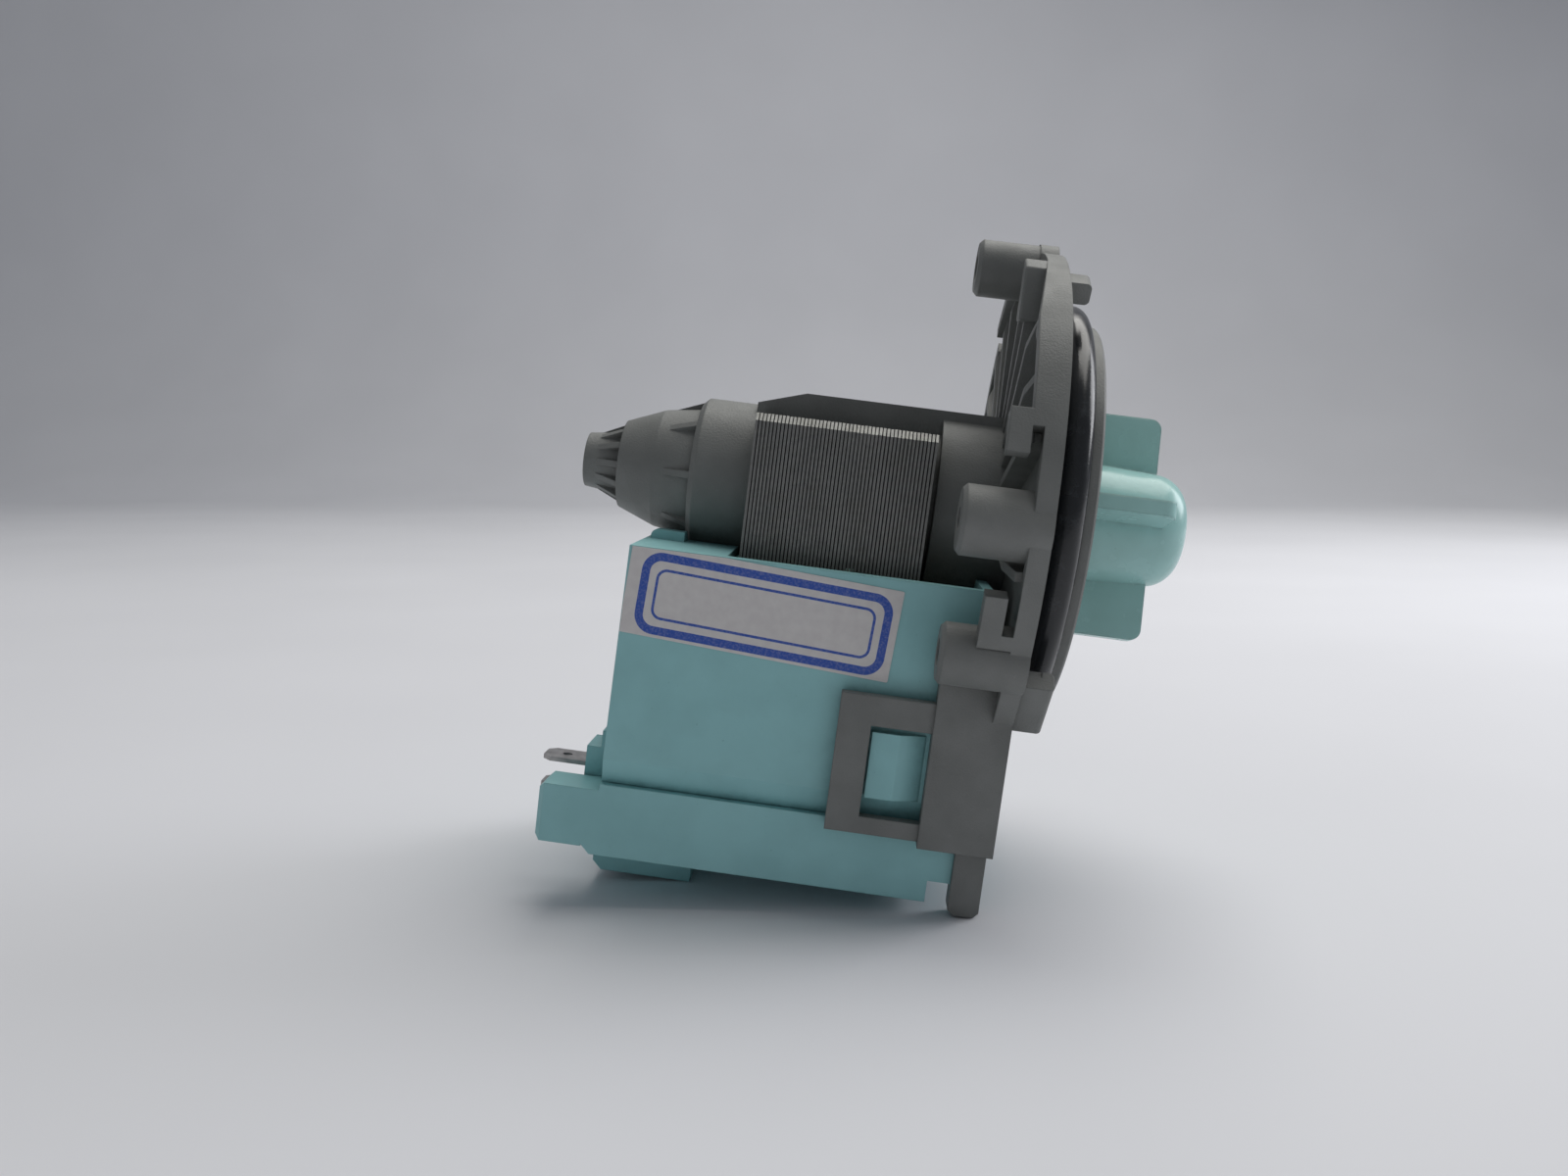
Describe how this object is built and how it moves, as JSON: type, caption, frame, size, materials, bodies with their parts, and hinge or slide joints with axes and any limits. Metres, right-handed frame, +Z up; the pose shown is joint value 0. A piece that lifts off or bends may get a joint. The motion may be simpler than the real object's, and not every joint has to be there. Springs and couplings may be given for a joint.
{
  "type": "washer drain pump",
  "caption": "Synchronous drain pump with a round flange, finned rotor can, laminated core, clipped coil box and bladed impeller with free part turn.",
  "frame": {"origin": "where the rotor axis meets the front plane of the flange's rim", "axes": "+X along the rotor axis from the motor to the impeller, +Z up and away from the coil box, -Y is the side with the label"},
  "size_m": [0.11, 0.0944, 0.1215],
  "materials": {
    "grey_plastic": "moulded, slightly rough",
    "aqua_plastic": "moulded, satin",
    "aqua_impeller": "moulded, smooth",
    "seal_rubber": "smooth",
    "core_steel": "punched sheet edges",
    "copper_winding": "enamelled wire",
    "bobbin_plastic": "moulded",
    "terminal_metal": "tinned",
    "label_paper": "coated",
    "carrier_plastic": "moulded",
    "bearing_carbon": "ground",
    "magnet_ferrite": "ground",
    "washer_ceramic": "ground",
    "shaft_steel": "ground",
    "sleeve_plastic": "moulded"
  },
  "bodies": {
    "motor": {"front_housing": "grey_plastic", "flange_seal": "seal_rubber", "core_laminations": "core_steel", "bobbin_near": "bobbin_plastic", "bobbin_far": "bobbin_plastic", "winding_near": "copper_winding", "winding_far": "copper_winding", "coil_cover": "aqua_plastic", "base_lid": "aqua_plastic", "terminal_near": "terminal_metal", "terminal_far": "terminal_metal", "label": "label_paper", "bearing_carrier": "carrier_plastic", "carrier_ring": "seal_rubber", "front_bearing_mount": "seal_rubber", "front_bearing": "bearing_carbon", "rear_bearing_mount": "seal_rubber", "rear_bearing": "bearing_carbon"},
    "rotor": {"shaft": "shaft_steel", "rotor_magnet": "magnet_ferrite", "rotor_sleeve": "sleeve_plastic", "rear_thrust_washer": "washer_ceramic", "front_thrust_washer": "washer_ceramic", "drive_dog": "carrier_plastic"},
    "impeller": {"impeller": "aqua_impeller", "impeller_damper": "seal_rubber", "impeller_cover": "aqua_impeller", "impeller_seal": "seal_rubber"}
  },
  "joints": [
    {"name": "rotor_spin", "type": "hinge", "parent": "motor", "child": "rotor", "pos_m": [0, 0, 0], "axis": [1, 0, 0], "continuous": true},
    {"name": "impeller_lost_motion", "type": "hinge", "parent": "rotor", "child": "impeller", "pos_m": [0, 0, 0], "axis": [1, 0, 0], "range_deg": [-142, 142]}
  ]
}
